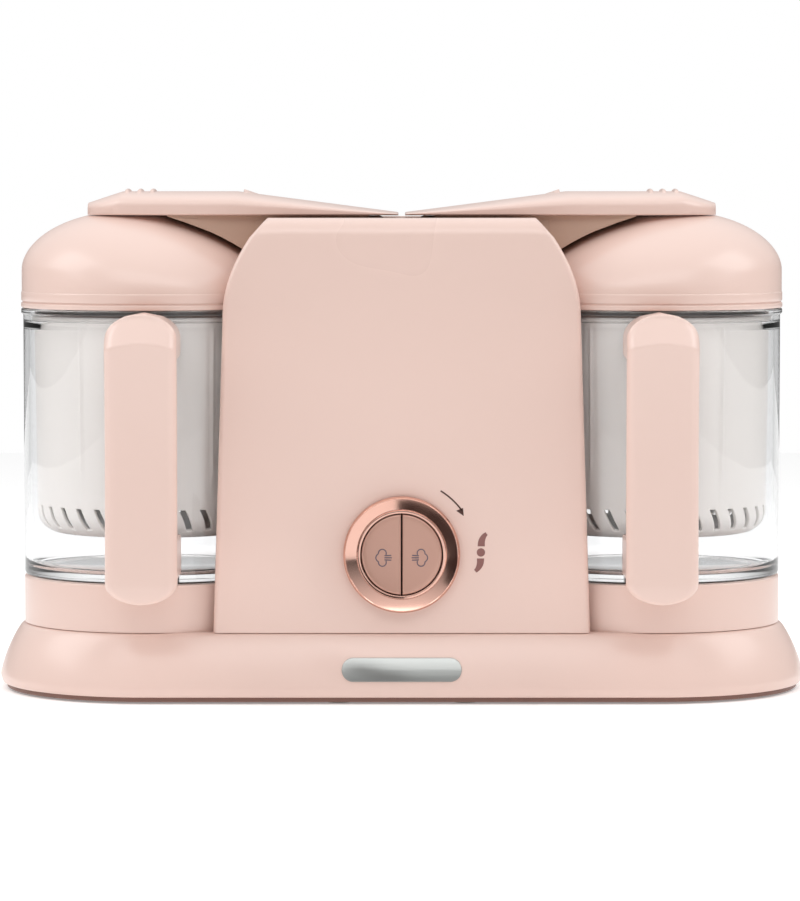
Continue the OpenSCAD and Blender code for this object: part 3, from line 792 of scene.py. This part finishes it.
def build_marks():
    for side, sign in SIDES:
        ribbon(f"{side}_steam_icon", steam_cloud(sign), 0.5, BUTTON_LO.y, f"{side}_button", ICON, 0.08)
    # The turning arrow beside the knob.
    ribbon("turn_arrow_line", [arc(0, KNOB_Z, 35.4, 58.5, 35.5, 24)], 0.75, FRONT_Y, "base", ARROW)
    head = [(29.5, 18.2), (25.9, 20.7), (29.2, 22.1)]
    verts, faces = plate_mark([[(x, KNOB_Z + z) for x, z in head]], FRONT_Y)
    piece("turn_arrow_head", verts, faces, ARROW, "base")
    # The blade mark: two curved wings about a hub.
    hub_x, hub_z = 37.7, KNOB_Z + 0.8
    wing = bend((-1.55, 2.9), (-1.6, 7.6), (2.2, 9.65)) + bend((3.2, 8.3), (1.6, 6.6), (1.9, 2.9))
    outlines = [[(hub_x + k * x, hub_z + k * z) for x, z in wing] for k in (1, -1)]
    outlines.append(arc(hub_x, hub_z, 2.0, 0, 351, 39))
    verts, faces = plate_mark(outlines, FRONT_Y)
    piece("blade_mark", verts, faces, PRINT, "base")


# ---------------------------------------------------------------- build

build_base()
build_shield()
build_knob()
for side, sign in SIDES:
    build_lid(side, sign)
    build_arm(side, sign)
    build_panel(side, sign)
    build_ring(side, sign)
    build_bowl(side, sign)
    build_basket(side, sign)
    build_button(side, sign)
    build_handle(side, sign)
    # The arm liner takes the darkened pink: painted shade.
    rounded(f"{side}_arm_liner", PINK_PAINTED_SHADE, 0.4)
    rounded(f"{side}_blade_hub", DARK, 0.5)
    rounded(f"{side}_blade", STEEL, 0.35)
build_marks()
rounded("tower_shell", PINK, 0.8)
rounded("name_plate", BADGE, 0.25)

FINISH = {
    MAUVE: ("base_plate",),
    # The tower's deck takes the darkened pink: painted shade.
    PINK_PAINTED_SHADE: ("tower_deck",),
    RUBBER: ("rubber_feet", "left_lid_seal", "right_lid_seal", "left_tank_seal", "right_tank_seal"),
    STEEL: ("base_screws", "left_stator", "right_stator", "left_rotor", "right_rotor",
            "left_spindle", "right_spindle", "left_tank", "right_tank",
            "left_hinge_pin", "right_hinge_pin"),
    DARK: ("cord_gland", "knob_core", "rotary_switch", "button_switches", "left_heater",
           "right_heater", "left_pulley", "right_pulley", "left_belt", "right_belt"),
    BOARD: ("control_board",),
    BRONZE: ("left_bearing", "right_bearing"),
    MILKY: ("left_bush", "right_bush"),
}
for material, names in FINISH.items():
    for name in names:
        mesh = nodes[name].data
        mesh.materials.clear()
        mesh.materials.append(material)
        mesh.shade_smooth()
        mesh.set_sharp_from_angle(angle=math.radians(30))

# ---------------------------------------------------------------- stage

floor_mesh = bpy.data.meshes.new("floor")
size = 1.7
floor_mesh.from_pydata([(-size, -size, 0), (size, -size, 0), (size, size, 0), (-size, size, 0)], [],
                       [(0, 1, 2, 3)])
floor = bpy.data.objects.new("floor", floor_mesh)
scene.collection.objects.link(floor)
floor_shader = Shader("floor_white", (0.98, 0.98, 0.98), Roughness=0.8, Emission_Strength=0.24)
floor_shader.bsdf.inputs["Emission Color"].default_value = (1.0, 1.0, 1.0, 1.0)
floor_shader.bump(floor_shader.noise(40.0), 0.0001)
floor_mesh.materials.append(floor_shader.material)

world = bpy.data.worlds.new("studio")
scene.world = world
world.use_nodes = True
tree = world.node_tree
sky = tree.nodes["Background"]
backdrop = tree.nodes.new("ShaderNodeBackground")
path = tree.nodes.new("ShaderNodeLightPath")
seen = tree.nodes.new("ShaderNodeMath")
seen.operation = "MAXIMUM"
tree.links.new(path.outputs["Is Camera Ray"], seen.inputs[0])
tree.links.new(path.outputs["Is Transmission Ray"], seen.inputs[1])
# A broad overhead light: dim at the horizon, bright above.
where = tree.nodes.new("ShaderNodeTexCoord")
split = tree.nodes.new("ShaderNodeSeparateXYZ")
rise = tree.nodes.new("ShaderNodeMapRange")
rise.inputs["To Min"].default_value, rise.inputs["To Max"].default_value = 0.08, 0.92
tree.links.new(where.outputs["Generated"], split.inputs[0])
tree.links.new(split.outputs["Z"], rise.inputs["Value"])
# Reflections see a brighter studio than the diffuse light does.
gleam = tree.nodes.new("ShaderNodeMath")
gleam.operation = "MULTIPLY_ADD"
tree.links.new(path.outputs["Is Glossy Ray"], gleam.inputs[0])
tree.links.new(rise.outputs["Result"], gleam.inputs[1])
tree.links.new(rise.outputs["Result"], gleam.inputs[2])
tree.links.new(gleam.outputs[0], sky.inputs["Strength"])
mix = tree.nodes.new("ShaderNodeMixShader")
tree.links.new(seen.outputs[0], mix.inputs[0])
tree.links.new(sky.outputs[0], mix.inputs[1])
tree.links.new(backdrop.outputs[0], mix.inputs[2])
tree.links.new(mix.outputs[0], tree.nodes["World Output"].inputs["Surface"])
sky.inputs["Color"].default_value = backdrop.inputs["Color"].default_value = (1.0, 1.0, 1.0, 1.0)
# Through the clear plastic the studio's sides look darker than the wall ahead, so edges show.
ahead = tree.nodes.new("ShaderNodeMath")
ahead.operation = "ABSOLUTE"
edge = tree.nodes.new("ShaderNodeMapRange")
for key, value in (("From Min", 0.6), ("From Max", 0.985), ("To Min", 0.12), ("To Max", 1.0)):
    edge.inputs[key].default_value = value
pale = tree.nodes.new("ShaderNodeMath")
pale.operation = "MAXIMUM"
tree.links.new(split.outputs["Y"], ahead.inputs[0])
tree.links.new(ahead.outputs[0], edge.inputs["Value"])
tree.links.new(edge.outputs["Result"], pale.inputs[0])
tree.links.new(path.outputs["Is Camera Ray"], pale.inputs[1])
tree.links.new(pale.outputs[0], backdrop.inputs["Strength"])


def softbox(name, at, towards, width, height, watts):
    light = bpy.data.lights.new(name, "AREA")
    light.shape, light.size, light.size_y, light.energy = "RECTANGLE", width, height, watts
    lamp = bpy.data.objects.new(name, light)
    lamp.location = at
    lamp.rotation_euler = (Vector(towards) - Vector(at)).to_track_quat("-Z", "Y").to_euler()
    scene.collection.objects.link(lamp)
    return lamp


softbox("key_left", (-1.1, -0.15, 0.95), (0, 0, 0.15), 0.8, 0.9, 5.8)
softbox("key_right", (1.1, -0.15, 0.95), (0, 0, 0.15), 0.8, 0.9, 5.4)
softbox("fill_top", (0, -0.85, 0.9), (0, 0, 0.2), 1.4, 0.4, 3)

# A dark flag that only reflections see, low and left of the knob: it shades the copper's cone.
flag_mesh = bpy.data.meshes.new("flag")
flag_depth = KNOB_LO.y - 60
outline = arc(0, KNOB_Z, 46, 160, 274, 24) + arc(0, KNOB_Z, 24, 274, 160, 24)
flag_mesh.from_pydata([(x * MM, flag_depth * MM, z * MM) for x, z in outline], [],
                      [tuple(range(len(outline)))])
flag = bpy.data.objects.new("flag", flag_mesh)
scene.collection.objects.link(flag)
flag_mesh.materials.append(Shader("flag_black", (0.03, 0.02, 0.02), Roughness=0.9).material)
flag.visible_camera = flag.visible_diffuse = flag.visible_transmission = False
flag.visible_shadow = flag.visible_volume_scatter = False

camera_data = bpy.data.cameras.new("camera")
camera_data.lens = 163.2
camera_data.sensor_width = 36.0
camera_data.shift_x = -0.0019
camera_data.clip_start, camera_data.clip_end = 0.05, 50.0
camera = bpy.data.objects.new("camera", camera_data)
camera.location = (0.0, -2.0, 0.25)
camera.rotation_euler = (math.radians(90 - 3.833), 0.0, 0.0)
scene.collection.objects.link(camera)
scene.camera = camera
scene.view_settings.view_transform = "Standard"
